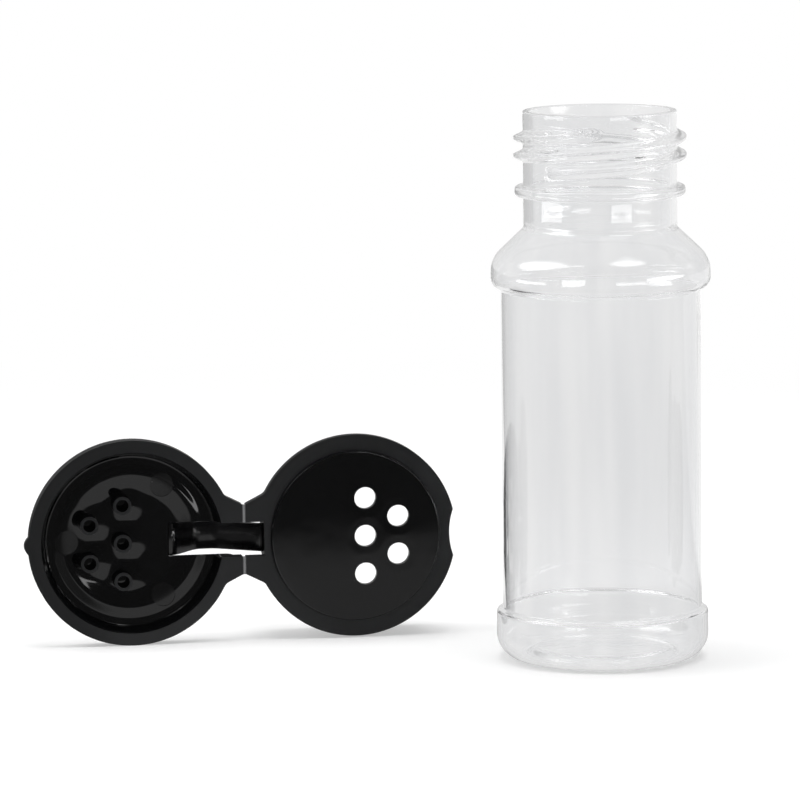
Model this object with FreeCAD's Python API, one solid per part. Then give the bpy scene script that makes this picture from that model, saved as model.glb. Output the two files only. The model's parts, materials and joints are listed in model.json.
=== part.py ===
import FreeCAD, Part
import math
import os

# Clear spice bottle with its black flip-top sifter cap, taken off and standing open beside it.
# Millimetres, +Z up. The origin is the centre of the bottle's standing face.
# The cap is drawn as it leaves the mould: mating faces up in the XY plane, hinge line along Y,
# sifter base on the +X side and lid on the -X side. It is then stood on its edge.

# Bottle heights, up from the standing face
bottle_height = 112.5
bead_top_z = 82.25
bead_bottom_z = 77.2
waist_top_z = 76.0
waist_bottom_z = 10.7
heel_top_z = 10.0
push_up_edge_z = 1.4
push_up_z = 2.5

# Bottle radii
neck_r = 15.7
bead_r = 22.5
body_r = 20.4
heel_r = 21.7
stand_inner_r = 15.3
push_up_edge_r = 13.8

# Bottle walls and roundings
neck_wall = 1.35
body_wall = 0.75
shoulder_angle = math.radians(46.5)
shoulder_round = 6.1
neck_root_round = 1.2
bead_round = 2.4
waist_round = 0.5
heel_top_round = 0.95
heel_round = 5.2
stand_round = 0.7
push_up_round = 1.5
rim_round = 0.3

# Neck finish: the ring below the thread, and the right-hand thread with its two starts
ring_reach = 1.75
ring_height = 2.1
ring_drop = 16.3
ring_round = 0.8
ring_root = 0.5
thread_height = 1.95
thread_lead = 7.25
thread_drop = 11.85
thread_crest_width = 0.6
thread_foot_width = 2.9
thread_root = 0.4
thread_starts = 2
thread_start_angle = math.radians(-147.0)
thread_sweep = math.radians(412.0)
thread_run_in = math.radians(22.0)
thread_run_out = math.radians(75.0)
thread_step = math.radians(12.0)

# Cap plan, shared by the base and the lid
hinge_reach = 1.9
slot_half_width = 3.6
hinge_half_width = 7.4
film_gap = 0.7
film_thickness = 0.3
ear_angle = math.radians(27.0)
ear_round = 2.0
ear_root_share = 0.5
hinge_lift = 0.1

# Sifter pattern: a column of three holes and a column of two, in an even triangular lattice
hole_r = 2.3
hole_pitch = 8.0
hole_offset = 2.0

# Sifter base
flange_width = 2.55
flange_thickness = 2.0
deck_clearance = 1.2
deck_rise = 0.9
deck_thickness = 1.3
deck_round = 0.35
edge_round = 0.25
thread_clearance = 0.25
cap_thread_height = 1.5
cap_thread_crest_width = 0.9
cap_thread_inset = 1.9
cap_thread_sweep = math.radians(300.0)
skirt_wall = 0.85
skirt_depth = 13.6
skirt_draft = 0.3
seal_clearance = 0.15
seal_wall = 0.9
seal_depth = 3.0
seal_lead_in = 0.3
pocket_wall = 0.5
anchor_depth = 4.2
anchor_margin = 0.8
notch_depth = 1.4
notch_round = 14.9
rib_count = 60
rib_height = 0.25
rib_width = 0.9
rib_margin = 1.6

# Lid
lid_overhang = 0.3
lip_width = 2.5
recess_depth = 3.6
recess_draft = 1.2
recess_round = 0.5
lid_wall = 1.2
lid_round = 1.5
lid_ear_thickness = 3.0
slot_length = 15.6
slot_round = 0.4
plug_root_r = 2.05
plug_tip_r = 1.9
plug_bore_r = 1.3
plug_reach = 0.4
nub_r = 2.35
nub_reach = 0.9
nub_round = 0.8
witness_r = 2.5
witness_depth = 0.15
witness_inset = 4.5
witness_count = 3

# Snap strap, from its groove in the lid to its groove in the base's pocket
strap_thickness = 0.8
strap_groove = 0.4
strap_groove_length = 0.7
strap_lid_half_width = 3.5
strap_half_width = 3.0
strap_taper_start = 1.5
strap_taper_end = 7.5
strap_base_depth = 2.4
strap_bow_depth = 8.3
strap_bow_round = 4.0
strap_flat_start_share = 0.30
strap_flat_end_share = 0.52

# Where the open cap stands beside the bottle, and how far past a face a cut runs
cap_spacing = 2.45
cap_setback = 9.94
overrun = 1.0
match_tolerance = 0.001
full_turn = 360.0
quarter_turn = 90.0

# Sizes that follow from the ones above, from the neck outward to the lid
film_half_gap = film_gap / 2
ring_r = neck_r + ring_reach
skirt_inner_r = neck_r + thread_height + thread_clearance
skirt_outer_r = skirt_inner_r + skirt_wall
cap_thread_foot_width = thread_lead / thread_starts - thread_crest_width - 2 * thread_clearance
seal_r = neck_r - neck_wall - seal_clearance
base_r = skirt_outer_r + flange_width
lid_r = base_r + lid_overhang
hinge_offset = lid_r + hinge_reach
mouth_r = lid_r - lip_width
recess_floor_r = mouth_r - recess_draft
witness_circle_r = recess_floor_r - witness_inset
lid_height = recess_depth + lid_wall
deck_r = mouth_r - deck_clearance
deck_underside = deck_rise - deck_thickness
pocket_length = hinge_offset - skirt_outer_r - pocket_wall
column_step = hole_pitch * math.sqrt(3) / 2
hinge_x = -(bead_r + cap_spacing + base_r + hinge_offset)
hinge_y = bead_r + cap_setback
cap_centre_z = lid_r

origin = FreeCAD.Vector(0, 0, 0)
x_axis = FreeCAD.Vector(1, 0, 0)
z_axis = FreeCAD.Vector(0, 0, 1)


def in_section(across, up):
    return FreeCAD.Vector(across, 0, up)


def in_plan(across, along):
    return FreeCAD.Vector(across, along, 0)


def unit(vector):
    return vector / vector.Length


def outline(corners, place):
    """Closed wire through corners (a, b, rounding radius), put in space by place(a, b)."""
    points = [place(a, b) for a, b, radius in corners]
    stretches = []
    for index, point in enumerate(points):
        radius = corners[index][2]
        if radius == 0:
            stretches.append((point, None, point))
            continue
        back = unit(points[index - 1] - point)
        ahead = unit(points[(index + 1) % len(points)] - point)
        half_angle = back.getAngle(ahead) / 2
        reach = radius / math.tan(half_angle)
        inward = unit(back + ahead)
        middle = point + inward * (radius / math.sin(half_angle) - radius)
        stretches.append((point + back * reach, middle, point + ahead * reach))
    edges = []
    for index, (start, middle, end) in enumerate(stretches):
        if middle is not None:
            edges.append(Part.Arc(start, middle, end).toShape())
        following = stretches[(index + 1) % len(stretches)][0]
        if (following - end).Length > match_tolerance:
            edges.append(Part.LineSegment(end, following).toShape())
    return Part.Wire(edges)


def turned(corners):
    """Solid of revolution about Z from a half section given as (radius, height, rounding)."""
    return Part.Face(outline(corners, in_section)).revolve(origin, z_axis, full_turn)


def prism(corners, bottom, top):
    """Upright prism from a plan outline given as (x, y, rounding)."""
    face = Part.Face(outline(corners, in_plan))
    face.translate(FreeCAD.Vector(0, 0, bottom))
    return face.extrude(FreeCAD.Vector(0, 0, top - bottom))


def block(x_range, y_range, z_range):
    size = [high - low for low, high in (x_range, y_range, z_range)]
    corner = FreeCAD.Vector(x_range[0], y_range[0], z_range[0])
    return Part.makeBox(size[0], size[1], size[2], corner)


def drum(radius, bottom, top, x=0, y=0):
    return Part.makeCylinder(radius, top - bottom, FreeCAD.Vector(x, y, bottom))


def inset(corners, walls):
    """Half section moved inward, each side by its own wall. Side k starts at corner k."""
    sides = []
    count = len(corners)
    for index in range(count):
        ax, ay = corners[index][:2]
        bx, by = corners[(index + 1) % count][:2]
        length = math.hypot(bx - ax, by - ay)
        along = ((bx - ax) / length, (by - ay) / length)
        wall = walls[index]
        sides.append(((ax + along[1] * wall, ay - along[0] * wall), along))
    moved = []
    for index in range(count):
        (ax, ay), (adx, ady) = sides[index - 1]
        (bx, by), (bdx, bdy) = sides[index]
        turn = adx * bdy - ady * bdx
        reach = ((bx - ax) * bdy - (by - ay) * bdx) / turn
        wall = walls[index - 1]
        radius = corners[index][2]
        if radius > 0:
            radius = radius - wall if turn < 0 else radius + wall
        moved.append((ax + adx * reach, ay + ady * reach, max(radius, 0)))
    return moved


def ease(share):
    """Smooth step from 0 to 1."""
    share = min(max(share, 0), 1)
    return share * share * (3 - 2 * share)


def thread_ridges(surface_r, rise, widths, start_z, sweep):
    """Thread starts on a round wall, each a trapezoid section that climbs as it turns.

    A positive rise stands out of the wall, a negative one into the bore. Widths are foot and crest.
    Both ends run down into the wall.
    """
    sunk = math.copysign(thread_root, rise)
    half_foot, half_crest = [z_axis * (width / 2) for width in widths]
    count = math.ceil(sweep / thread_step)
    ridges = []
    for start in range(thread_starts):
        sections = []
        for index in range(count + 1):
            along = sweep * index / count
            angle = thread_start_angle + math.tau * start / thread_starts + along
            rise_share = ease(along / thread_run_in) * ease((sweep - along) / thread_run_out)
            outward = FreeCAD.Vector(math.cos(angle), math.sin(angle), 0)
            middle = z_axis * (start_z + thread_lead * along / math.tau)
            foot = middle + outward * (surface_r - sunk)
            crest = middle + outward * (surface_r - sunk / 2 + rise_share * (rise + sunk / 2))
            corners = [foot - half_foot, foot + half_foot, crest + half_crest, crest - half_crest]
            sections.append(Part.makePolygon(corners + corners[:1]))
        ridges.append(Part.makeLoft(sections, True))
    return ridges


def make_bottle():
    shoulder_rise = (bead_r - neck_r) / math.tan(shoulder_angle)
    corners = [
        (0, bottle_height, 0),
        (neck_r, bottle_height, 0),
        (neck_r, bead_top_z + shoulder_rise, neck_root_round),
        (bead_r, bead_top_z, shoulder_round),
        (bead_r, bead_bottom_z, bead_round),
        (body_r, waist_top_z, waist_round),
        (body_r, waist_bottom_z, 0),
        (heel_r, heel_top_z, heel_top_round),
        (heel_r, 0, heel_round),
        (stand_inner_r, 0, stand_round),
        (push_up_edge_r, push_up_edge_z, push_up_round),
        (0, push_up_z, 0),
    ]
    walls = [-overrun, neck_wall] + [body_wall] * (len(corners) - 3) + [0]
    body = turned(corners)
    ring_z = bottle_height - ring_drop
    ring = turned([
        (neck_r - ring_root, ring_z - ring_height / 2, 0),
        (ring_r, ring_z - ring_height / 2, ring_round),
        (ring_r, ring_z + ring_height / 2, ring_round),
        (neck_r - ring_root, ring_z + ring_height / 2, 0),
    ])
    thread_widths = (thread_foot_width, thread_crest_width)
    thread = thread_ridges(neck_r, thread_height, thread_widths, bottle_height - thread_drop, thread_sweep)
    hollow = turned(inset(corners, walls))
    bottle = body.multiFuse([ring] + thread).cut(hollow)
    rims = [edge for edge in bottle.Edges if abs(edge.BoundBox.ZMin - bottle_height) < match_tolerance]
    rims = [edge for edge in rims if edge.Length > neck_r]
    return bottle.makeFillet(rim_round, rims)


def sifter_places():
    """Centres of the five holes, and of the plugs that close them, measured from the hinge."""
    near_x = hinge_offset + hole_offset
    places = [(near_x, row * hole_pitch) for row in (-1, 0, 1)]
    places += [(near_x + column_step, side * hole_pitch / 2) for side in (-1, 1)]
    return places


def upright_edges_on_circle(shape, radius, far_side):
    """Upright edges that stand on a disc's circle, on its far side or on its hinge side."""
    chosen = []
    for edge in shape.Edges:
        box = edge.BoundBox
        upright = box.XLength + box.YLength < match_tolerance
        distance = math.hypot(box.XMin - hinge_offset, box.YMin)
        on_circle = abs(distance - radius) < match_tolerance
        off_axis = abs(box.YMin) > match_tolerance
        if upright and on_circle and off_axis and (box.XMin > hinge_offset) == far_side:
            chosen.append(edge)
    return chosen


def eared_ring(disc_r, inner_r, thickness):
    """Ring under a mating face, with the two ears that flare out to the hinge line."""
    root_x = hinge_offset * ear_root_share
    root_half_width = hinge_half_width + (root_x - film_half_gap) * math.tan(ear_angle)
    wedge = prism([
        (film_half_gap, -hinge_half_width, 0),
        (root_x, -root_half_width, 0),
        (root_x, root_half_width, 0),
        (film_half_gap, hinge_half_width, 0),
    ], -thickness, 0)
    plate = drum(disc_r, -thickness, 0, hinge_offset).fuse(wedge).removeSplitter()
    plate = plate.makeFillet(ear_round, upright_edges_on_circle(plate, disc_r, False))
    return plate.cut(drum(inner_r, -thickness - overrun, overrun, hinge_offset))


def grip_ribs():
    """Upright grip ribs round the skirt, joined to it by their roots."""
    top = -flange_thickness
    bottom = rib_margin - skirt_depth
    root_r = skirt_inner_r + skirt_wall / 2
    rib = block((root_r, skirt_outer_r + rib_height), (-rib_width / 2, rib_width / 2), (bottom, top))
    ribs = []
    for index in range(rib_count):
        copy = rib.copy()
        copy.rotate(origin, z_axis, full_turn * (index + 0.5) / rib_count)
        copy.translate(FreeCAD.Vector(hinge_offset, 0, 0))
        ribs.append(copy)
    return ribs


def make_cap_base():
    seal_bottom = deck_underside - seal_depth
    body = turned([
        (0, deck_rise, 0),
        (deck_r, deck_rise, deck_round),
        (deck_r, 0, 0),
        (base_r, 0, edge_round),
        (base_r, -flange_thickness, edge_round),
        (skirt_outer_r, -flange_thickness, 0),
        (skirt_outer_r - skirt_draft, -skirt_depth, edge_round),
        (skirt_inner_r, -skirt_depth, edge_round),
        (skirt_inner_r, deck_underside, 0),
        (seal_r, deck_underside, 0),
        (seal_r, seal_bottom, seal_lead_in),
        (seal_r - seal_wall, seal_bottom, seal_lead_in),
        (seal_r - seal_wall, deck_underside, 0),
        (0, deck_underside, 0),
    ])
    thread_widths = (cap_thread_foot_width, cap_thread_crest_width)
    thread_z = cap_thread_inset - skirt_depth
    thread = thread_ridges(skirt_inner_r, -cap_thread_height, thread_widths, thread_z, cap_thread_sweep)
    body = body.multiFuse(thread)
    body.translate(FreeCAD.Vector(hinge_offset, 0, 0))
    anchor_half_width = slot_half_width + anchor_margin
    anchor = block((pocket_length, hinge_offset), (-anchor_half_width, anchor_half_width), (-anchor_depth, 0))
    anchor = anchor.cut(drum(skirt_inner_r, -anchor_depth - overrun, overrun, hinge_offset))
    ears = eared_ring(base_r, skirt_outer_r, flange_thickness)
    body = body.multiFuse([ears, anchor] + grip_ribs())
    pocket = block((-overrun, pocket_length), (-slot_half_width, slot_half_width), (-anchor_depth - overrun, overrun))
    notch_x = hinge_offset + base_r - notch_depth + notch_round
    cuts = [pocket, drum(notch_round, -flange_thickness - overrun, overrun, notch_x)]
    for x, y in sifter_places():
        cuts.append(drum(hole_r, deck_underside - overrun, deck_rise + overrun, x, y))
    return body.cut(Part.makeCompound(cuts)).removeSplitter()


def make_flip_lid():
    """Lid, drawn on the +X side like the base, then turned over to its own side."""
    body = turned([
        (0, -recess_depth, 0),
        (recess_floor_r, -recess_depth, recess_round),
        (mouth_r, 0, edge_round),
        (lid_r, 0, edge_round),
        (lid_r, -lid_height, lid_round),
        (0, -lid_height, 0),
    ])
    body.translate(FreeCAD.Vector(hinge_offset, 0, 0))
    nub_x = hinge_offset + lid_r + nub_reach - nub_r
    lip = drum(lid_r, -flange_thickness, 0, hinge_offset).fuse(drum(nub_r, -flange_thickness, 0, nub_x))
    lip = lip.removeSplitter()
    lip = lip.makeFillet(nub_round, upright_edges_on_circle(lip, lid_r, True))
    lip = lip.cut(drum(mouth_r, -flange_thickness - overrun, overrun, hinge_offset))
    added = [lip, eared_ring(lid_r, mouth_r, lid_ear_thickness)]
    cuts = [prism([
        (-overrun, -slot_half_width, 0),
        (slot_length, -slot_half_width, slot_round),
        (slot_length, slot_half_width, slot_round),
        (-overrun, slot_half_width, 0),
    ], -lid_height - overrun, overrun)]
    for x, y in sifter_places():
        foot = FreeCAD.Vector(x, y, -recess_depth - lid_wall / 2)
        added.append(Part.makeCone(plug_root_r, plug_tip_r, plug_reach - foot.z, foot))
        cuts.append(drum(plug_bore_r, -recess_depth, plug_reach + overrun, x, y))
    for index in range(witness_count):
        angle = math.radians(full_turn * index / witness_count)
        x = hinge_offset + witness_circle_r * math.cos(angle)
        y = witness_circle_r * math.sin(angle)
        cuts.append(drum(witness_r, -recess_depth - witness_depth, -recess_depth / 2, x, y))
    lid = body.multiFuse(added).cut(Part.makeCompound(cuts)).removeSplitter()
    return lid.mirror(origin, x_axis)


def make_hinge_film(side):
    """One of the two thin films that bend where the lid and the base meet."""
    rows = sorted((side * slot_half_width, side * hinge_half_width))
    return block((-film_half_gap, film_half_gap), rows, (-film_thickness, 0))


def make_snap_strap():
    """Bowed strap between the lid and the base, thinned to a groove at each end."""
    lid_end_z = -recess_depth - lid_wall / 2
    span = pocket_length + slot_length
    thin = strap_groove / 2
    full = strap_thickness / 2
    middle_line = [
        (-slot_length, lid_end_z, thin, 0),
        (-slot_length + strap_groove_length, lid_end_z, thin, strap_groove),
        (-slot_length + span * strap_flat_start_share, -strap_bow_depth, full, strap_bow_round),
        (-slot_length + span * strap_flat_end_share, -strap_bow_depth, full, strap_bow_round),
        (pocket_length - strap_groove_length, -strap_base_depth, thin, strap_groove),
        (pocket_length, -strap_base_depth, thin, 0),
    ]
    corners = [(x, z + half, radius) for x, z, half, radius in middle_line]
    corners += [(x, z - half, radius) for x, z, half, radius in reversed(middle_line)]
    side_face = Part.Face(outline(corners, in_section))
    side_face.translate(FreeCAD.Vector(0, -slot_half_width, 0))
    band = side_face.extrude(FreeCAD.Vector(0, 2 * slot_half_width, 0))
    half_plan = [
        (-slot_length - overrun, strap_lid_half_width),
        (-slot_length + strap_taper_start, strap_lid_half_width),
        (-slot_length + strap_taper_end, strap_half_width),
        (pocket_length + overrun, strap_half_width),
    ]
    plan = [(x, y, 0) for x, y in half_plan] + [(x, -y, 0) for x, y in reversed(half_plan)]
    return band.common(prism(plan, -strap_bow_depth - overrun, overrun))


def stood_on_edge(shape):
    """From the moulding frame to the place where the open cap stands beside the bottle."""
    placed = shape.copy()
    placed.rotate(origin, x_axis, quarter_turn)
    placed.translate(FreeCAD.Vector(hinge_x, hinge_y, cap_centre_z))
    return placed


def build():
    nodes = {
        "bottle": make_bottle(),
        "cap_base": stood_on_edge(make_cap_base()),
        "flip_lid": stood_on_edge(make_flip_lid()),
        "hinge_film_upper": stood_on_edge(make_hinge_film(1)),
        "hinge_film_lower": stood_on_edge(make_hinge_film(-1)),
        "snap_strap": stood_on_edge(make_snap_strap()),
    }
    os.makedirs("parts", exist_ok=True)
    for name, shape in nodes.items():
        solids = shape.Solids
        print(name, len(solids), "solid, valid" if shape.isValid() else "solid, NOT VALID", round(shape.Volume, 2))
        piece = solids[0] if len(solids) == 1 else shape
        piece.exportStep("parts/" + name + ".step")
    print("hinge axis at", hinge_x, hinge_y - hinge_lift)


build()
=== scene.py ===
import json
import math

import bpy
import numpy as np
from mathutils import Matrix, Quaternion, Vector


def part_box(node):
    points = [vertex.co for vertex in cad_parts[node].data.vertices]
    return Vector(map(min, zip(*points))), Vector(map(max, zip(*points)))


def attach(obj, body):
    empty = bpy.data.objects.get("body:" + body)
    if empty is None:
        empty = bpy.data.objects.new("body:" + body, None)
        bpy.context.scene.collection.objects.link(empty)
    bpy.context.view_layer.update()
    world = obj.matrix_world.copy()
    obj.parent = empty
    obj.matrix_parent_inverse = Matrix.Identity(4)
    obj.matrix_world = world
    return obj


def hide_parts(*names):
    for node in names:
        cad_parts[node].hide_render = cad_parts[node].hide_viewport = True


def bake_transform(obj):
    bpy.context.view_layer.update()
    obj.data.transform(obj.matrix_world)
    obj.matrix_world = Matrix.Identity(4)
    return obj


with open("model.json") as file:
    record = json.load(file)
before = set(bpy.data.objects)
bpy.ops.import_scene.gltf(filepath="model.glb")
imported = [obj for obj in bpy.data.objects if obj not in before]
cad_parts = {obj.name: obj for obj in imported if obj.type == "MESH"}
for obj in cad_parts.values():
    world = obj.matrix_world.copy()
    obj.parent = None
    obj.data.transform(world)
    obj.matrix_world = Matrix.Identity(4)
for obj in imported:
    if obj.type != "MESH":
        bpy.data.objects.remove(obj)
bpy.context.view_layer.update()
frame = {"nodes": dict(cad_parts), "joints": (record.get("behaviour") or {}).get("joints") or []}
nodes = frame["nodes"]

# Lengths that end in _mm are millimetres; everything handed to Blender is metres.
MM = 0.001

# Bottle profile, outside, from the middle of the base up to the rim: (radius, height, rounding)
FLOOR_TO_RING_MM = [
    (0.0, 2.5, 0.0),
    (13.8, 1.4, 1.5),
    (15.3, 0.0, 0.7),
    (21.7, 0.0, 5.2),
    (21.7, 10.0, 0.95),
    (20.4, 10.7, 0.3),
    (20.4, 76.0, 0.5),
    (22.5, 77.2, 2.4),
    (22.5, 82.25, 6.1),
    (15.7, 88.703, 1.2),
]
RING_MM = [
    (15.7, 95.15, 0.25),
    (17.45, 95.15, 0.8),
    (17.45, 97.25, 0.8),
    (15.7, 97.25, 0.25),
]
RIM_Z_MM = 112.5
NECK_R_MM = 15.7
NECK_WALL_MM = 1.35
BODY_WALL_MM = 0.75
RIM_ROUND_MM = 0.3
RIM_OUTER_END_MM = 0.6
RIM_INNER_END_MM = 0.4
BOTTLE_COLUMNS = 288
BOTTLE_ROW_MM = 2.0

# Unevenness of the bottle's inner wall between two heights, where it fades out
WALL_WAVE_MM = 0.05
WALL_WAVE_FROM_MM = 8.0
WALL_WAVE_TO_MM = 86.0
WALL_WAVE_FADE_MM = 12.0

# Two-start right-hand thread on the neck
THREAD_HEIGHT_MM = 1.95
THREAD_LEAD_MM = 7.25
THREAD_START_DEG = -147.0
THREAD_START_Z_MM = 100.65
THREAD_SWEEP_DEG = 412.0
THREAD_FADE_IN_DEG = 22.0
THREAD_FADE_OUT_DEG = 75.0
THREAD_CREST_MM = 0.22
THREAD_FOOT_MM = 1.50
THREAD_ROW_MM = 0.13

# Sifter pattern, which the lid's plugs mirror
HOLE_PITCH_MM = 8.0
HOLE_OFFSET_MM = 2.0

# Open cap: hinge line, mating faces and disc centres, in metres, from the frame's hinge
HINGE_OFFSET_MM = 23.5
HINGE_LIFT_MM = 0.1
lid_hinge = next(joint for joint in frame["joints"] if joint["name"] == "lid_hinge")
HINGE_X, HINGE_Y, HINGE_Z = lid_hinge["pos_m"]
FACE_Y = HINGE_Y + HINGE_LIFT_MM * MM
BASE_CENTRE = (HINGE_X + HINGE_OFFSET_MM * MM, HINGE_Z)
LID_CENTRE = (HINGE_X - HINGE_OFFSET_MM * MM, HINGE_Z)

# Moulded relief that only gloss shows: the dished lid floor with its ring, mounds by the plugs, sinks round the holes
LID_TILT = 0.020
LID_DISH = 1.7
LID_RING_MM = (10.0, 14.2, 16.4)
LID_RING_HEIGHT_MM = 0.30
PLUG_MOUND_MM = 4.7
PLUG_MOUND_HEIGHT_MM = 0.20
PLUG_MOUND_SHIFT_MM = (1.4, 0.0)
HOLE_SINK_MM = (2.3, 4.3)
HOLE_SINK_DEPTH_MM = 0.02

# Ejector marks on the lid's floor, which are ground and not polished
EJECTOR_R_MM = 2.5
EJECTOR_CIRCLE_MM = 13.4
EJECTOR_ROUGH = 0.26

# Snap strap: middle line as (x from the hinge, depth behind the mating faces, rounding), and its widths
STRAP_LINE_MM = [
    (-15.6, 4.2, 0.0),
    (-14.9, 4.2, 0.5),
    (-9.645, 8.3, 4.0),
    (-5.278, 8.3, 4.0),
    (3.55, 2.4, 0.5),
    (4.25, 2.4, 0.0),
]
STRAP_HALF_MM = 0.4
STRAP_GROOVE_HALF_MM = 0.2
STRAP_GROOVE_MM = 0.7
STRAP_WIDE_MM = 3.5
STRAP_NARROW_MM = 3.0
STRAP_TAPER_MM = (-14.1, -8.1)
FILM_HALF_GAP_MM = 0.35
FILM_WAIST_MM = 0.06

# Studio floor: its own white, the light it adds for the camera and inside clear plastic, and where pure white begins
FLOOR_WHITE = 0.62
FLOOR_GLOW = 0.41
FLOOR_FAR = (0.22, 0.50)

# What gloss sees of the floor: one level before the lid and one before the base, dim beyond an edge, white behind
GLOSS_BEFORE_LID = 0.74
GLOSS_BEFORE_BASE = 0.47
GLOSS_BEYOND = 0.07
GLOSS_LEFT_SHARE = 0.25
GLOSS_LIT_SHARE = 0.03
FLAG_EDGE_Y = FACE_Y - 0.130
FLAG_SOFTNESS = (0.010, 0.045)
FLAG_CHANGE_X = (-0.065, -0.045)
FLAG_LEFT_X = -0.100
FLAG_LEFT_SOFTNESS = 0.005
BEHIND_X = (-0.105, -0.085)
BEHIND_Y = (FACE_Y + 0.01, FACE_Y + 0.06)

# What clear plastic shows: an even grey room, in which the real floor counts for a small share
GLASS_FLOOR = ((0.0, 0.28), (0.91, 0.80))
GLASS_FLOOR_FAR = ((0.35, 0.60), 0.03)
GLASS_EVEN_SHARE = 0.80
WORLD_IN_GLASS = (0.55, 0.86)
WORLD_IN_GLASS_TURN = (-0.6, 0.4)

# World, but for the camera and inside clear plastic: its level in front and behind, and the passage between them
WORLD_FRONT = 0.08
WORLD_BACK = 0.60
WORLD_TURN = (-0.35, 0.55)

# Lamps: the bright core of a soft one as a share of its size, and the height of the two level strips
LAMP_CORE = 0.25
STRIP_Z = 0.031

# Polished zones of the cap, in metres: radius and range of y; then their range of roughness, and that of matt faces
BASE_GLOSS_R = 0.01785
BASE_GLOSS_DEPTHS = (FACE_Y - 0.0012, FACE_Y - 0.0003)
BASE_GLOSS_ROUGH = (0.05, 0.11)
LID_GLOSS_R = 0.0190
LID_GLOSS_DEPTHS = (FACE_Y + 0.0002, FACE_Y + 0.0042)
LID_GLOSS_ROUGH = (0.03, 0.07)
MATT_ROUGH = (0.42, 0.54)

# Soft edge of a zone, in metres: half its width across the disc, and its width in depth
ZONE_EDGE = 0.0001
ZONE_EDGE_DEPTH = 0.00005

# Painted shade: faces turned away from the cap's axis get a darker colour and shine less; the passage between the two,
# and the specular level at each end
SIDE_PASSAGE = (0.35, 0.75)
SIDE_SHINE = (0.12, 0.5)

# Colours of the mouldings, linear
MATT_BLACK = (0.0118, 0.0124, 0.0137, 1.0)
POLISHED_BLACK = (0.0030, 0.0031, 0.0034, 1.0)
# The next black is painted shade, given to faces turned away from the cap's axis
SIDE_SHADE_BLACK = (0.0040, 0.0042, 0.0046, 1.0)
STRAP_BLACK = (0.004, 0.004, 0.0045, 1.0)
DUST = (0.16, 0.16, 0.17, 1.0)
FILM_DARK = (0.030, 0.030, 0.032, 1.0)
FILM_PALE = (0.42, 0.42, 0.43, 1.0)
PET_THIN = (0.990, 0.991, 0.993, 1.0)
PET_THICK = (0.945, 0.948, 0.954, 1.0)
PET_SHADOW = (0.34, 0.345, 0.35, 1.0)

# Camera, as the photograph was taken
CAMERA_PLACE = Vector((-0.21883, -1.11868, 0.20873))
CAMERA_TARGET = Vector((-0.04063, 0.00639, 0.05352))
CAMERA_ROLL_DEG = 0.62
CAMERA_LENS_MM = 253.1
SENSOR_MM = 36.0


# Mesh helpers

def link(name, mesh):
    made = bpy.data.objects.new(name, mesh)
    bpy.context.scene.collection.objects.link(made)
    return made


def mesh_piece(name, points, faces, material, smooth=True):
    mesh = bpy.data.meshes.new(name)
    mesh.from_pydata([tuple(p) for p in points], [], faces)
    mesh.validate()
    mesh.update()
    mesh.polygons.foreach_set("use_smooth", [smooth] * len(mesh.polygons))
    mesh.materials.append(material)
    return link(name, mesh)


def rounded(corners, step_deg=7.0):
    """Line through (a, b, rounding) corners as a list of points, each rounding drawn as an arc."""
    line = []
    for index, (a, b, radius) in enumerate(corners):
        corner = Vector((a, b))
        if radius == 0 or index in (0, len(corners) - 1):
            line.append(corner)
            continue
        back = (Vector(corners[index - 1][:2]) - corner).normalized()
        ahead = (Vector(corners[index + 1][:2]) - corner).normalized()
        half = back.angle(ahead) / 2
        centre = corner + (back + ahead).normalized() * (radius / math.sin(half))
        start = corner + back * (radius / math.tan(half)) - centre
        end = corner + ahead * (radius / math.tan(half)) - centre
        turn = math.atan2(start.x * end.y - start.y * end.x, start.dot(end))
        steps = max(2, math.ceil(abs(math.degrees(turn)) / step_deg))
        for step in range(steps + 1):
            angle = turn * step / steps
            c, s = math.cos(angle), math.sin(angle)
            line.append(centre + Vector((start.x * c - start.y * s, start.x * s + start.y * c)))
    return line


def inset(corners, walls):
    """Corners moved inward (to the left of the line's direction), each side by its own wall."""
    sides = []
    for (ax, ay, _), (bx, by, _), wall in zip(corners, corners[1:], walls):
        length = math.hypot(bx - ax, by - ay)
        dx, dy = (bx - ax) / length, (by - ay) / length
        sides.append((ax - dy * wall, ay + dx * wall, dx, dy))
    moved = []
    for index in range(1, len(sides)):
        ax, ay, adx, ady = sides[index - 1]
        bx, by, bdx, bdy = sides[index]
        turn = adx * bdy - ady * bdx
        reach = ((bx - ax) * bdy - (by - ay) * bdx) / turn
        radius = corners[index][2]
        if radius > 0:
            radius = max(radius - walls[index] if turn > 0 else radius + walls[index], 0.0)
        moved.append((ax + adx * reach, ay + ady * reach, radius))
    return moved


def split(line, step):
    """The same line with its long runs divided, so that no point is further than step from the next."""
    out = [line[0]]
    for a, b in zip(line, line[1:]):
        count = max(1, math.ceil((b - a).length / step))
        out += [a.lerp(b, (k + 1) / count) for k in range(count)]
    return out


def ease(t):
    t = np.clip(t, 0.0, 1.0)
    return t * t * (3.0 - 2.0 * t)


# Bottle

def thread_swell(angle, height):
    """How far the two thread starts stand out of the neck at an angle and height (arrays)."""
    swell = np.zeros(np.broadcast(angle, height).shape)
    for first in (THREAD_START_DEG, THREAD_START_DEG + 180.0):
        for lap in range(-1, 3):
            along = np.degrees(angle) - first + 360.0 * lap
            middle = THREAD_START_Z_MM + THREAD_LEAD_MM * along / 360.0
            fade = ease(along / THREAD_FADE_IN_DEG) * ease((THREAD_SWEEP_DEG - along) / THREAD_FADE_OUT_DEG)
            off = np.abs(height - middle)
            crest = 1.0 - ease((off - THREAD_CREST_MM) / (THREAD_FOOT_MM - THREAD_CREST_MM))
            swell = np.maximum(swell, THREAD_HEIGHT_MM * fade * crest)
    return swell


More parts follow.
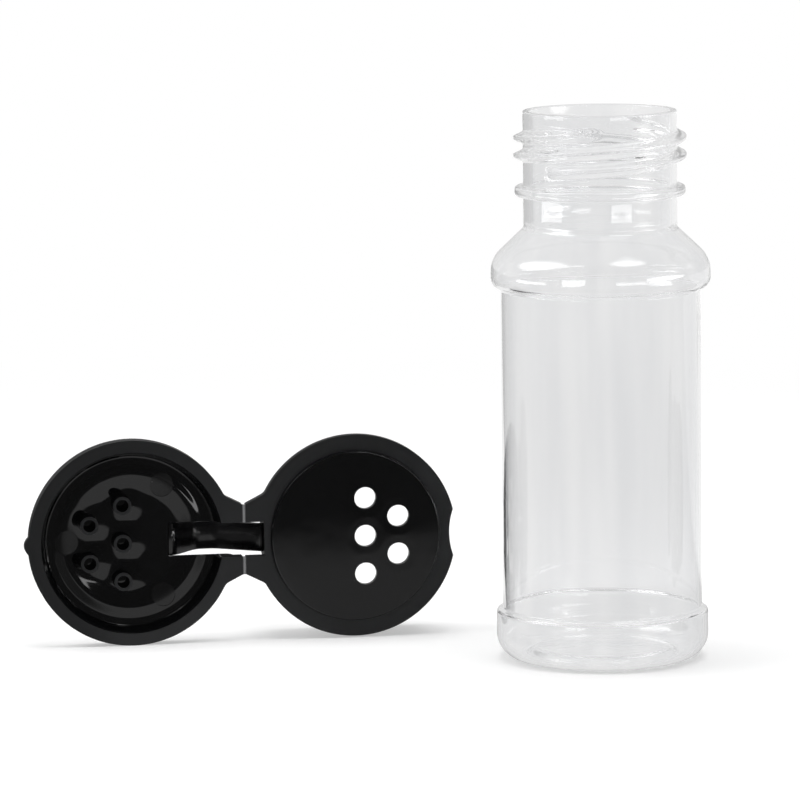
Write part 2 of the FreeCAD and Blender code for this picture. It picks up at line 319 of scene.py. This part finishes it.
def make_bottle(material):
    lower = FLOOR_TO_RING_MM
    rim = [(NECK_R_MM, RIM_Z_MM, RIM_ROUND_MM), (NECK_R_MM - RIM_OUTER_END_MM, RIM_Z_MM, 0)]
    outer = split(rounded(lower + RING_MM + rim), BOTTLE_ROW_MM)
    thread_low = RING_MM[-1][1] + RING_MM[-1][2]
    thread_top = RIM_Z_MM - RIM_ROUND_MM
    rows = []
    for a, b in zip(outer, outer[1:]):
        rows.append(a)
        if min(a.y, b.y) >= thread_low - 0.01 and max(a.y, b.y) <= thread_top + 0.01:
            count = max(1, math.ceil((b - a).length / THREAD_ROW_MM))
            rows += [a.lerp(b, k / count) for k in range(1, count)]
    rows.append(outer[-1])
    outer_count = len(rows)
    plain = lower + [(NECK_R_MM, RIM_Z_MM, 0)]
    walls = [BODY_WALL_MM] * (len(lower) - 1) + [NECK_WALL_MM]
    middle = inset(plain, walls)
    inner_r = NECK_R_MM - NECK_WALL_MM
    inner = [(0.0, lower[0][1] + BODY_WALL_MM, 0.0)] + middle
    inner += [(inner_r, RIM_Z_MM, RIM_ROUND_MM), (inner_r + RIM_INNER_END_MM, RIM_Z_MM, 0.0)]
    rows += list(reversed(split(rounded(inner), BOTTLE_ROW_MM)))

    turn = np.arange(BOTTLE_COLUMNS) * (2.0 * math.pi / BOTTLE_COLUMNS)
    points = []
    faces = []
    rings = []
    for index, row in enumerate(rows):
        if row.x < 1e-6:
            rings.append([len(points)])
            points.append((0.0, 0.0, row.y * MM))
            continue
        radius = np.full(BOTTLE_COLUMNS, row.x)
        if index < outer_count and thread_low < row.y < thread_top:
            radius = radius + thread_swell(turn, np.full(BOTTLE_COLUMNS, row.y))
        if index >= outer_count:
            rise = ease((row.y - WALL_WAVE_FROM_MM) / WALL_WAVE_FADE_MM)
            body = float(rise * ease((WALL_WAVE_TO_MM - row.y) / WALL_WAVE_FADE_MM))
            wave = np.sin(3 * turn + 0.4 + row.y / 31.0) + 0.6 * np.sin(5 * turn + 2.1 - row.y / 23.0)
            radius = radius + WALL_WAVE_MM * body * wave
        ring = list(range(len(points), len(points) + BOTTLE_COLUMNS))
        points += [(r * math.cos(t) * MM, r * math.sin(t) * MM, row.y * MM) for r, t in zip(radius, turn)]
        rings.append(ring)
    for low, high in zip(rings, rings[1:]):
        for k in range(BOTTLE_COLUMNS):
            n = (k + 1) % BOTTLE_COLUMNS
            if len(low) == 1:
                faces.append((low[0], high[n], high[k]))
            elif len(high) == 1:
                faces.append((low[k], low[n], high[0]))
            else:
                faces.append((low[k], low[n], high[n], high[k]))
    return mesh_piece("clear_bottle", points, faces, material)


# Strap and films

def cap_point(x, depth, up):
    """A point of the open cap: millimetres from the hinge line, behind the mating faces, above the hinge's middle."""
    return (HINGE_X + x * MM, FACE_Y + depth * MM, HINGE_Z + up * MM)


def band(name, stations, material):
    """Closed strip through stations (x, depth, along, half thickness, half width), its edges rounded."""
    points = []
    for x, depth, (dx, dd), half, wide in stations:
        edge = 0.6 * half
        corners = [
            (-half, -(wide - edge)), (-half, wide - edge), (-half + edge, wide), (half - edge, wide),
            (half, wide - edge), (half, -(wide - edge)), (half - edge, -wide), (-half + edge, -wide),
        ]
        points += [cap_point(x - dd * off, depth + dx * off, up) for off, up in corners]
    count = 8
    faces = [tuple(range(count))]
    for ring in range(len(stations) - 1):
        for k in range(count):
            n = (k + 1) % count
            a, b = ring * count, (ring + 1) * count
            faces.append((a + k, b + k, b + n, a + n))
    last = (len(stations) - 1) * count
    faces.append(tuple(last + k for k in reversed(range(count))))
    return mesh_piece(name, points, faces, material)


def make_strap(material):
    line = split(rounded(STRAP_LINE_MM, 4.0), 0.4)
    first, last = line[0].x, line[-1].x
    stations = []
    for index, point in enumerate(line):
        back = line[max(index - 1, 0)]
        ahead = line[min(index + 1, len(line) - 1)]
        along = (ahead - back).normalized()
        from_end = min(point.x - first, last - point.x)
        half = STRAP_GROOVE_HALF_MM + (STRAP_HALF_MM - STRAP_GROOVE_HALF_MM) * float(
            ease((from_end - 0.6 * STRAP_GROOVE_MM) / (1.2 * STRAP_GROOVE_MM)))
        start, end = STRAP_TAPER_MM
        wide = STRAP_WIDE_MM + (STRAP_NARROW_MM - STRAP_WIDE_MM) * float(ease((point.x - start) / (end - start)))
        stations.append((point.x, point.y, (along.x, along.y), half, wide))
    return band("snap_band", stations, material)


def make_film(node_name, material):
    """Thin film between the ears, waisted to the line where it bends."""
    low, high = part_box(node_name)
    columns, rows = 14, 18
    thick = high.y - low.y
    points = []
    for side in (0, 1):
        for i in range(columns + 1):
            share = i / columns
            waist = FILM_WAIST_MM * MM * math.sin(math.pi * share) ** 2
            y = low.y + waist if side == 0 else low.y + thick - waist
            for j in range(rows + 1):
                points.append((low.x + (high.x - low.x) * share, y, low.z + (high.z - low.z) * j / rows))
    faces = []
    layer = (columns + 1) * (rows + 1)
    for i in range(columns):
        for j in range(rows):
            a = i * (rows + 1) + j
            b, c, d = a + rows + 1, a + rows + 2, a + 1
            faces.append((a, b, c, d))
            faces.append((layer + d, layer + c, layer + b, layer + a))
    for i in range(columns):
        for j in (0, rows):
            a = i * (rows + 1) + j
            b = a + rows + 1
            quad = (a, layer + a, layer + b, b)
            faces.append(quad if j == 0 else tuple(reversed(quad)))
    for i in (0, columns):
        for j in range(rows):
            a = i * (rows + 1) + j
            quad = (a, a + 1, layer + a + 1, layer + a)
            faces.append(quad if i == 0 else tuple(reversed(quad)))
    return mesh_piece(node_name.replace("hinge_", "") + "_strip", points, faces, material)


def replace_bent(piece, node_name):
    """The piece takes the place of the node, which is hidden, and its transform is baked into its mesh."""
    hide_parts(node_name)
    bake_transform(piece)


# Materials

def new_material(name):
    made = bpy.data.materials.new(name)
    made.use_nodes = True
    tree = made.node_tree
    tree.nodes.clear()
    output = tree.nodes.new("ShaderNodeOutputMaterial")
    return made, tree, output


def node(tree, kind, settings=None, **inputs):
    made = tree.nodes.new("ShaderNode" + kind)
    for key, value in (settings or {}).items():
        setattr(made, key, value)
    for key, value in inputs.items():
        by_number = key[0] == "i" and key[1:].isdigit()
        socket = made.inputs[int(key[1:]) if by_number else key.replace("_", " ")]
        if isinstance(value, bpy.types.NodeSocket):
            tree.links.new(value, socket)
        else:
            socket.default_value = value
    return made


def clear_pet():
    made, tree, output = new_material("clear_pet")
    place = node(tree, "TexCoord")
    stretched = node(tree, "Mapping", Vector=place.outputs["Object"], Scale=(240.0, 240.0, 9.0))
    flow = node(tree, "TexNoise", Vector=stretched.outputs["Vector"], Scale=1.0, Detail=3.0, Roughness=0.55)
    haze = node(tree, "TexNoise", Vector=place.outputs["Object"], Scale=55.0, Detail=4.0, Roughness=0.6)
    rough = node(tree, "MapRange", Value=haze.outputs["Fac"], i1=0.35, i2=0.75, i3=0.012, i4=0.05)
    drawn = node(tree, "Mapping", Vector=place.outputs["Object"], Scale=(150.0, 150.0, 14.0))
    streak = node(tree, "TexNoise", Vector=drawn.outputs["Vector"], Scale=1.0, Detail=2.0, Roughness=0.5)
    thick = slope(tree, streak.outputs["Fac"], 0.35, 0.65, 0.0, 1.0)
    tint = node(tree, "Mix", {"data_type": "RGBA"}, i0=thick, i6=PET_THIN, i7=PET_THICK)
    bump = node(tree, "Bump", Height=flow.outputs["Fac"], Strength=0.05, Distance=0.0006)
    shader = node(
        tree, "BsdfPrincipled", Base_Color=tint.outputs[2], IOR=1.5, Transmission_Weight=1.0,
        Roughness=rough.outputs["Result"], Normal=bump.outputs["Normal"],
    )
    through = node(tree, "BsdfTransparent", Color=PET_SHADOW)
    path = node(tree, "LightPath")
    mixed = node(tree, "MixShader", i0=path.outputs["Is Shadow Ray"], i1=shader.outputs[0], i2=through.outputs[0])
    tree.links.new(mixed.outputs[0], output.inputs["Surface"])
    return made


def maths(tree, operation, first, second):
    return node(tree, "Math", {"operation": operation}, i0=first, i1=second).outputs[0]


def radial_distance(tree, place, centre):
    """Distance of a point from an axis along Y through centre (x, z)."""
    moved = node(tree, "VectorMath", {"operation": "SUBTRACT"}, i0=place, i1=(centre[0], 0.0, centre[1]))
    flat = node(tree, "VectorMath", {"operation": "MULTIPLY"}, i0=moved.outputs[0], i1=(1.0, 0.0, 1.0))
    return node(tree, "VectorMath", {"operation": "LENGTH"}, i0=flat.outputs[0]).outputs["Value"]


def slope(tree, value, start, end, low, high):
    """Smooth passage of a value from low at start to high at end."""
    made = node(
        tree, "MapRange", {"interpolation_type": "SMOOTHSTEP"}, Value=value, i1=start, i2=end, i3=low, i4=high,
    )
    return made.outputs[0]


def sifter_places(side, shift=(0.0, 0.0)):
    """Centres (x, z) of the holes (side 1) or of the plugs that close them (side -1)."""
    near = HINGE_OFFSET_MM + HOLE_OFFSET_MM
    far = near + HOLE_PITCH_MM * math.sqrt(3.0) / 2.0
    rows = [(near, 1.0), (near, 0.0), (near, -1.0), (far, 0.5), (far, -0.5)]
    return [
        (HINGE_X + (side * x + shift[0]) * MM, HINGE_Z + (row * HOLE_PITCH_MM + shift[1]) * MM) for x, row in rows
    ]


def lid_relief(tree, place, across):
    """Height of the lid floor in metres: dished, with a low ring near its wall and a mound round each plug."""
    up = maths(tree, "SUBTRACT", node(tree, "SeparateXYZ", Vector=place).outputs["Z"], HINGE_Z)
    height = maths(tree, "MULTIPLY", maths(tree, "MULTIPLY", across, across), LID_DISH)
    height = maths(tree, "SUBTRACT", height, maths(tree, "MULTIPLY", up, LID_TILT))
    inner, crest, outer = [radius * MM for radius in LID_RING_MM]
    rise = slope(tree, across, inner, crest, 0.0, LID_RING_HEIGHT_MM * MM)
    fall = slope(tree, across, crest, outer, 0.0, LID_RING_HEIGHT_MM * MM)
    height = maths(tree, "SUBTRACT", maths(tree, "ADD", height, rise), fall)
    for centre in sifter_places(-1, PLUG_MOUND_SHIFT_MM):
        from_plug = radial_distance(tree, place, centre)
        mound = slope(tree, from_plug, 0.0, PLUG_MOUND_MM * MM, PLUG_MOUND_HEIGHT_MM * MM, 0.0)
        height = maths(tree, "ADD", height, mound)
    return height


def deck_relief(tree, place, across):
    """Height of the sifter deck in metres: a shallow sink round each hole."""
    height = maths(tree, "MULTIPLY", across, 0.0)
    for centre in sifter_places(1):
        from_hole = radial_distance(tree, place, centre)
        start, end = [radius * MM for radius in HOLE_SINK_MM]
        height = maths(tree, "ADD", height, slope(tree, from_hole, start, end, 0.0, HOLE_SINK_DEPTH_MM * MM))
    return height


def ejector_places():
    """Centres (x, z) of the lid's three ejector marks."""
    x, z = LID_CENTRE
    reach = EJECTOR_CIRCLE_MM * MM
    turns = [math.radians(120.0 * index) for index in range(3)]
    return [(x - reach * math.cos(turn), z + reach * math.sin(turn)) for turn in turns]


def black_cap(name, centre, gloss_radius, gloss_depths, gloss_rough, relief, ground=()):
    """Black polypropylene: polished inside the disc's mirror zone, spark-eroded matt elsewhere.

    Ground spots inside the mirror zone are given by their centres.
    """
    made, tree, output = new_material(name)
    place = node(tree, "TexCoord").outputs["Object"]
    across = radial_distance(tree, place, centre)
    depth = node(tree, "SeparateXYZ", Vector=place).outputs["Y"]
    inside = slope(tree, across, gloss_radius - ZONE_EDGE, gloss_radius + ZONE_EDGE, 1.0, 0.0)
    above = slope(tree, depth, gloss_depths[0] - ZONE_EDGE_DEPTH, gloss_depths[0], 0.0, 1.0)
    below = slope(tree, depth, gloss_depths[1], gloss_depths[1] + ZONE_EDGE_DEPTH, 1.0, 0.0)
    gloss = maths(tree, "MULTIPLY", maths(tree, "MULTIPLY", above, below), inside)

    grain = node(tree, "TexNoise", Vector=place, Scale=5200.0, Detail=2.0, Roughness=0.6)
    wave = node(tree, "TexNoise", Vector=place, Scale=150.0, Detail=1.5, Roughness=0.45)
    smear = node(tree, "TexNoise", Vector=place, Scale=90.0, Detail=5.0, Roughness=0.65)
    fleck = node(tree, "TexVoronoi", {"feature": "F1"}, Vector=place, Scale=520.0)
    spot = slope(tree, fleck.outputs["Distance"], 0.035, 0.06, 1.0, 0.0)
    pick = node(tree, "SeparateColor", Color=fleck.outputs["Color"])
    few = slope(tree, pick.outputs[0], 0.90, 0.92, 0.0, 1.0)
    dust = maths(tree, "MULTIPLY", spot, few)

    polished = node(tree, "MapRange", Value=smear.outputs["Fac"], i1=0.3, i2=0.75, i3=gloss_rough[0], i4=gloss_rough[1])
    polish = polished.outputs[0]
    edge = EJECTOR_R_MM * MM
    for spot_centre in ground:
        from_spot = radial_distance(tree, place, spot_centre)
        on_spot = slope(tree, from_spot, edge - ZONE_EDGE, edge + ZONE_EDGE, 1.0, 0.0)
        polish = node(tree, "Mix", {"data_type": "FLOAT"}, i0=on_spot, i2=polish, i3=EJECTOR_ROUGH).outputs[0]
    matt = node(tree, "MapRange", Value=smear.outputs["Fac"], i1=0.3, i2=0.75, i3=MATT_ROUGH[0], i4=MATT_ROUGH[1])
    rough = node(tree, "Mix", {"data_type": "FLOAT"}, i0=gloss, i2=matt.outputs[0], i3=polish)
    tint = node(tree, "Mix", {"data_type": "RGBA"}, i0=gloss, i6=MATT_BLACK, i7=POLISHED_BLACK)
    dusty = node(tree, "Mix", {"data_type": "RGBA"}, i0=dust, i6=tint.outputs[2], i7=DUST)

    # Painted shade: by which way a face points, faces turned away from the axis take a darker colour and less specular
    normal = node(tree, "SeparateXYZ", Vector=node(tree, "NewGeometry").outputs["Normal"])
    facing = maths(tree, "ABSOLUTE", normal.outputs["Y"], 0.0)
    shine = slope(tree, facing, *SIDE_PASSAGE, *SIDE_SHINE)
    side = slope(tree, facing, *SIDE_PASSAGE, 1.0, 0.0)
    side_shaded = node(tree, "Mix", {"data_type": "RGBA"}, i0=side, i6=dusty.outputs[2], i7=SIDE_SHADE_BLACK)
    matt_share = maths(tree, "SUBTRACT", 1.0, gloss)
    grain_share = maths(tree, "MULTIPLY", grain.outputs["Fac"], matt_share)
    fine = node(tree, "Bump", Height=grain_share, Strength=0.35, Distance=0.00006)
    wide = node(tree, "Bump", Height=wave.outputs["Fac"], Strength=0.10, Distance=0.0006, Normal=fine.outputs["Normal"])
    moulded = maths(tree, "MULTIPLY", relief(tree, place, across), gloss)
    sunk = node(tree, "Bump", Height=moulded, Strength=1.0, Distance=1.0, Normal=wide.outputs["Normal"])
    shader = node(
        tree, "BsdfPrincipled", Base_Color=side_shaded.outputs[2], IOR=1.49, Roughness=rough.outputs[0],
        Specular_IOR_Level=shine, Normal=sunk.outputs["Normal"],
    )
    tree.links.new(shader.outputs[0], output.inputs["Surface"])
    return made


def plain_black(name, colour, low_rough, high_rough):
    made, tree, output = new_material(name)
    place = node(tree, "TexCoord")
    smear = node(tree, "TexNoise", Vector=place.outputs["Object"], Scale=260.0, Detail=4.0, Roughness=0.6)
    grain = node(tree, "TexNoise", Vector=place.outputs["Object"], Scale=5200.0, Detail=2.0)
    rough = node(tree, "MapRange", Value=smear.outputs["Fac"], i1=0.3, i2=0.75, i3=low_rough, i4=high_rough)
    bump = node(tree, "Bump", Height=grain.outputs["Fac"], Strength=0.12, Distance=0.00004)
    shader = node(
        tree, "BsdfPrincipled", Base_Color=colour, IOR=1.49, Roughness=rough.outputs["Result"],
        Normal=bump.outputs["Normal"],
    )
    tree.links.new(shader.outputs[0], output.inputs["Surface"])
    return made


def whitened_film():
    """Polypropylene that has turned pale where it bends, most along its middle."""
    made, tree, output = new_material("whitened_film")
    place = node(tree, "TexCoord").outputs["Object"]
    along = node(tree, "SeparateXYZ", Vector=place).outputs["X"]
    off = maths(tree, "ABSOLUTE", maths(tree, "SUBTRACT", along, HINGE_X), 0.0)
    pale = slope(tree, off, 0.00005, FILM_HALF_GAP_MM * MM, 1.0, 0.25)
    streak = node(tree, "Mapping", Vector=place, Scale=(9000.0, 3000.0, 900.0))
    craze = node(tree, "TexNoise", Vector=streak.outputs["Vector"], Scale=1.0, Detail=3.0, Roughness=0.7)
    broken = node(tree, "MapRange", Value=craze.outputs["Fac"], i1=0.3, i2=0.7, i3=0.45, i4=1.0)
    amount = maths(tree, "MULTIPLY", pale, broken.outputs[0])
    colour = node(tree, "Mix", {"data_type": "RGBA"}, i0=amount, i6=FILM_DARK, i7=FILM_PALE)
    bump = node(tree, "Bump", Height=craze.outputs["Fac"], Strength=0.4, Distance=0.00004)
    shader = node(
        tree, "BsdfPrincipled", Base_Color=colour.outputs[2], IOR=1.49, Roughness=0.5, Normal=bump.outputs["Normal"],
    )
    tree.links.new(shader.outputs[0], output.inputs["Surface"])
    return made


# Stage

def ray_share(tree, *kinds):
    """1 for rays of these kinds, 0 for the rest."""
    path = node(tree, "LightPath")
    share = path.outputs[kinds[0]]
    for kind in kinds[1:]:
        share = node(tree, "Math", {"operation": "MAXIMUM"}, i0=share, i1=path.outputs[kind]).outputs[0]
    return share


def glow(tree, strength):
    return node(tree, "Emission", Color=(1.0, 1.0, 1.0, 1.0), Strength=strength).outputs[0]


def inside_share(tree):
    """1 for rays that left through clear plastic, or turned inside it, and met nothing matt since."""
    path = node(tree, "LightPath")
    passed = maths(tree, "GREATER_THAN", path.outputs["Transmission Depth"], 0.5)
    return maths(tree, "MULTIPLY", passed, maths(tree, "SUBTRACT", 1.0, path.outputs["Is Diffuse Ray"]))


def white_floor():
    """White floor that keeps the object's shadow, pure white further off, dim in gloss beyond its front edge."""
    made, tree, output = new_material("white_floor")
    place = node(tree, "TexCoord").outputs["Object"]
    parts = node(tree, "SeparateXYZ", Vector=place)
    x, y = parts.outputs["X"], parts.outputs["Y"]
    camera = ray_share(tree, "Is Camera Ray")
    inside = inside_share(tree)

    lit = node(tree, "BsdfDiffuse", Color=(FLOOR_WHITE, FLOOR_WHITE, FLOOR_WHITE, 1.0))
    share = maths(tree, "MULTIPLY", maths(tree, "MAXIMUM", camera, inside), FLOOR_GLOW)
    near = node(tree, "AddShader", i0=lit.outputs[0], i1=glow(tree, share))
    reach = node(tree, "VectorMath", {"operation": "LENGTH"}, i0=place).outputs["Value"]
    away = maths(tree, "MULTIPLY", camera, slope(tree, reach, *FLOOR_FAR, 0.0, 1.0))
    seen = node(tree, "MixShader", i0=away, i1=near.outputs[0], i2=glow(tree, 1.0))

    softness = slope(tree, x, FLAG_CHANGE_X[0], FLAG_CHANGE_X[1], FLAG_SOFTNESS[0], FLAG_SOFTNESS[1])
    start = maths(tree, "SUBTRACT", FLAG_EDGE_Y, softness)
    end = maths(tree, "ADD", FLAG_EDGE_Y, softness)
    left = (FLAG_LEFT_X - FLAG_LEFT_SOFTNESS, FLAG_LEFT_X + FLAG_LEFT_SOFTNESS)
    level = slope(tree, x, FLAG_CHANGE_X[0], FLAG_CHANGE_X[1], GLOSS_BEFORE_LID, GLOSS_BEFORE_BASE)
    level = maths(tree, "MULTIPLY", level, slope(tree, x, left[0], left[1], GLOSS_LEFT_SHARE, 1.0))
    level = maths(tree, "MULTIPLY", level, slope(tree, y, start, end, 0.0, 1.0))
    behind = maths(tree, "MULTIPLY", slope(tree, x, *BEHIND_X, 0.0, 1.0), slope(tree, y, *BEHIND_Y, 0.0, 1.0))
    level = maths(tree, "MAXIMUM", maths(tree, "MAXIMUM", level, behind), GLOSS_BEYOND)
    mirrored = maths(tree, "MULTIPLY", ray_share(tree, "Is Glossy Ray"), 1.0 - GLOSS_LIT_SHARE)
    glossy = node(tree, "MixShader", i0=mirrored, i1=seen.outputs[0], i2=glow(tree, level))

    (near_y, far_y), (near_level, far_level) = GLASS_FLOOR
    even = slope(tree, y, near_y, far_y, near_level, far_level)
    (start_y, end_y), rise = GLASS_FLOOR_FAR
    even = maths(tree, "ADD", even, slope(tree, y, start_y, end_y, 0.0, rise))
    in_glass = maths(tree, "MULTIPLY", inside, GLASS_EVEN_SHARE)
    both = node(tree, "MixShader", i0=in_glass, i1=glossy.outputs[0], i2=glow(tree, even))
    tree.links.new(both.outputs[0], output.inputs["Surface"])
    return made


def make_stage():
    reach = 6.0
    floor = mesh_piece(
        "studio_floor",
        [(-reach, -reach, 0), (reach, -reach, 0), (reach, reach, 0), (-reach, reach, 0)],
        [(0, 1, 2, 3)], white_floor(), smooth=False,
    )

    world = bpy.data.worlds.new("studio")
    bpy.context.scene.world = world
    world.use_nodes = True
    tree = world.node_tree
    tree.nodes.clear()
    ahead = node(tree, "SeparateXYZ", Vector=node(tree, "TexCoord").outputs["Generated"]).outputs["Y"]
    ambient = slope(tree, ahead, *WORLD_TURN, WORLD_FRONT, WORLD_BACK)
    through = slope(tree, ahead, *WORLD_IN_GLASS_TURN, *WORLD_IN_GLASS)
    first = node(tree, "Mix", {"data_type": "FLOAT"}, i0=inside_share(tree), i2=ambient, i3=through)
    level = node(tree, "Mix", {"data_type": "FLOAT"}, i0=ray_share(tree, "Is Camera Ray"), i2=first.outputs[0], i3=1.0)
    background = node(tree, "Background", Color=(1.0, 1.0, 1.0, 1.0), Strength=level.outputs[0])
    output = tree.nodes.new("ShaderNodeOutputWorld")
    tree.links.new(background.outputs[0], output.inputs["Surface"])


def lamp(name, place, target, size, power, turn_deg=0.0, mirrored=True, soft=True):
    """Area lamp, an ellipse that fades to its rim or a hard rectangle.

    One that isn't mirrored lights the object without showing in its gloss.
    """
    light = bpy.data.lights.new(name, "AREA")
    light.shape = "ELLIPSE" if soft else "RECTANGLE"
    light.size, light.size_y = size
    light.energy = power
    if soft:
        light.use_nodes = True
        tree = light.node_tree
        tree.nodes.clear()
        spot = node(tree, "NewGeometry").outputs["Parametric"]
        moved = node(tree, "VectorMath", {"operation": "SUBTRACT"}, i0=spot, i1=(0.5, 0.5, 0.0))
        flat = node(tree, "VectorMath", {"operation": "MULTIPLY"}, i0=moved.outputs[0], i1=(1.0, 1.0, 0.0))
        off = node(tree, "VectorMath", {"operation": "LENGTH"}, i0=flat.outputs[0]).outputs["Value"]
        emission = node(tree, "Emission", Strength=slope(tree, off, LAMP_CORE, 0.5, 1.0, 0.0))
        output = tree.nodes.new("ShaderNodeOutputLight")
        tree.links.new(emission.outputs[0], output.inputs["Surface"])
    made = link(name, light)
    made.location = place
    aim = (Vector(target) - Vector(place)).to_track_quat("-Z", "Y")
    made.rotation_euler = (aim @ Quaternion((0.0, 0.0, 1.0), math.radians(turn_deg))).to_euler()
    made.visible_glossy = mirrored
    made.visible_transmission = mirrored
    return made


def make_lights():
    middle = (-0.04, 0.02, 0.05)
    bottle_top = (0.0, 0.0, 0.085)
    lamp("overhead", (0.0, 0.03, 1.0), middle, (0.80, 0.80), 10.0, mirrored=False)
    lamp("left_round", (-0.62, 0.06, 0.66), bottle_top, (0.92, 0.56), 4.6, turn_deg=42.0)
    lamp("right_round", (0.275, -0.304, 0.94), bottle_top, (0.60, 0.50), 2.6)
    lamp("right_low", (0.80, -0.42, 0.11), bottle_top, (0.95, 0.18), 2.4)
    level_aim = (0.0, 0.0, STRIP_Z)
    lamp("left_strip", (-0.50, -0.01, STRIP_Z), level_aim, (0.34, 0.021), 0.09, soft=False)
    lamp("right_strip", (0.18, -0.467, STRIP_Z), level_aim, (0.28, 0.021), 0.075, soft=False)


def make_camera():
    data = bpy.data.cameras.new("camera")
    data.lens = CAMERA_LENS_MM
    data.sensor_width = SENSOR_MM
    data.clip_end = 50.0
    made = link("camera", data)
    made.location = CAMERA_PLACE
    level = (CAMERA_TARGET - CAMERA_PLACE).to_track_quat("-Z", "Y")
    roll = Quaternion((0.0, 0.0, 1.0), -math.radians(CAMERA_ROLL_DEG))
    made.rotation_euler = (level @ roll).to_euler()
    bpy.context.scene.camera = made


make_camera()
make_stage()
make_lights()

bottle = make_bottle(clear_pet())
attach(bottle, "bottle")
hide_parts("bottle")


def wear(name, material):
    target = nodes[name]
    target.data.materials.clear()
    target.data.materials.append(material)


wear("cap_base", black_cap("black_base", BASE_CENTRE, BASE_GLOSS_R, BASE_GLOSS_DEPTHS, BASE_GLOSS_ROUGH, deck_relief))
wear("flip_lid", black_cap(
    "black_lid", LID_CENTRE, LID_GLOSS_R, LID_GLOSS_DEPTHS, LID_GLOSS_ROUGH, lid_relief, ejector_places(),
))

strap = make_strap(plain_black("black_strap", STRAP_BLACK, 0.16, 0.28))
replace_bent(strap, "snap_strap")
film_material = whitened_film()
for film_name in ("hinge_film_upper", "hinge_film_lower"):
    film = make_film(film_name, film_material)
    replace_bent(film, film_name)

# Light that is caught in the bottle's wall turns many times before it leaves
cycles = bpy.context.scene.cycles
cycles.max_bounces = 96
cycles.glossy_bounces = 64
cycles.transmission_bounces = 64

view = bpy.context.scene.view_settings
view.view_transform = "Standard"
